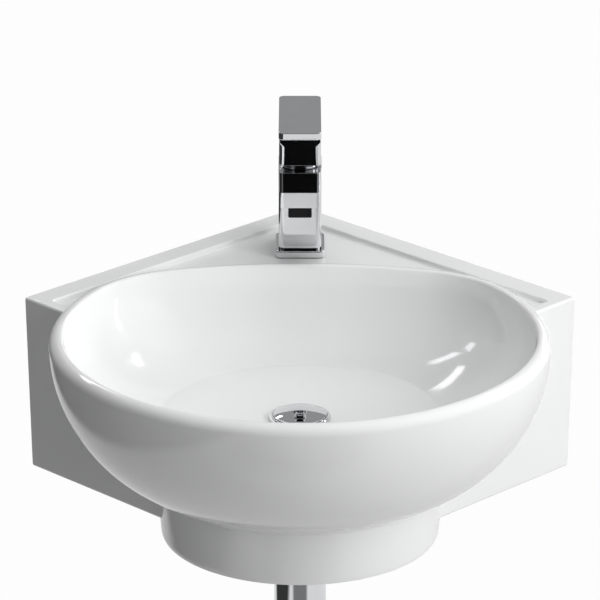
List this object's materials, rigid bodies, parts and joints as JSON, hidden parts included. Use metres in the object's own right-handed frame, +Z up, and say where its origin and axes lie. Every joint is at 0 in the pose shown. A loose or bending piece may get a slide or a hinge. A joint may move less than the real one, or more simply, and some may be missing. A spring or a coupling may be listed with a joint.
{
  "type": "corner basin",
  "caption": "Wall-hung corner basin with a round bowl, square single-lever mixer tap, click waste and bottle trap.",
  "frame": {"origin": "the inner corner of the two walls, at the height of the rim", "axes": "+Z up, the walls run off at 45 degrees towards -Y, the front of the bowl points to -Y"},
  "size_m": [0.4928, 0.561, 0.479],
  "materials": {
    "glaze": "glossy white glaze",
    "chrome": "polished chrome plate",
    "rubber": "matt black rubber",
    "plastic": "moulded light grey plastic",
    "black": "black glossy plastic",
    "disc": "lapped alumina",
    "brass": "turned brass",
    "steel": "bright steel"
  },
  "bodies": {
    "fixed": {"basin": "glaze", "tap_base_gasket": "rubber", "tap_base_plate": "chrome", "tap_body": "chrome", "cartridge_housing": "plastic", "cartridge_seal": "rubber", "cartridge_fixed_disc": "disc", "cartridge_nut": "brass", "cartridge_dome": "chrome", "aerator_housing": "black", "aerator_strainer": "plastic", "aerator_seal": "rubber", "tap_stud": "steel", "tap_horseshoe_gasket": "rubber", "tap_horseshoe_plate": "steel", "tap_fixing_nut": "brass", "waste_top_seal": "rubber", "waste_body": "chrome", "waste_lower_seal": "rubber", "waste_washer": "plastic", "waste_backnut": "brass", "waste_click_sleeve": "plastic", "waste_spring": "steel", "trap_inlet_washer": "rubber", "trap_inlet_nut": "chrome", "trap_dip_tube": "chrome", "trap_top_seal": "rubber", "trap_top_nut": "chrome", "trap_body": "chrome", "trap_cup_seal": "rubber", "trap_cup": "chrome", "trap_outlet_seal": "rubber", "trap_outlet_nut": "chrome", "trap_outlet_pipe": "chrome", "trap_wall_rosette": "chrome"},
    "turning": {"cartridge_rotor": "plastic", "cartridge_pin": "steel"},
    "lever": {"tap_lever": "chrome", "cartridge_stem": "steel", "lever_grub_screw": "steel", "lever_index_plug": "plastic"},
    "moving_disc": {"cartridge_moving_disc": "disc"},
    "plug": {"waste_plug": "chrome", "waste_plug_seal": "rubber", "waste_plunger": "brass"}
  },
  "joints": [
    {"name": "lever_turn", "type": "hinge", "parent": "fixed", "child": "turning", "pos_m": [0, -0.107, 0.0791], "axis": [0, 0, 1], "range_deg": [-50, 50]},
    {"name": "lever_lift", "type": "hinge", "parent": "turning", "child": "lever", "pos_m": [0, -0.107, 0.0791], "axis": [-1, 0, 0], "range_deg": [0, 25]},
    {"name": "disc_slide", "type": "slide", "parent": "turning", "child": "moving_disc", "axis": [0, -1, 0], "range_m": [0, 0.00423]},
    {"name": "waste_plug_lift", "type": "slide", "parent": "fixed", "child": "plug", "axis": [0, 0, 1], "range_m": [0, 0.008], "deforming": ["waste_spring"]}
  ],
  "couplings": [
    {"joint": "disc_slide", "follows": "lever_lift", "m_per_rad": 0.009686}
  ]
}
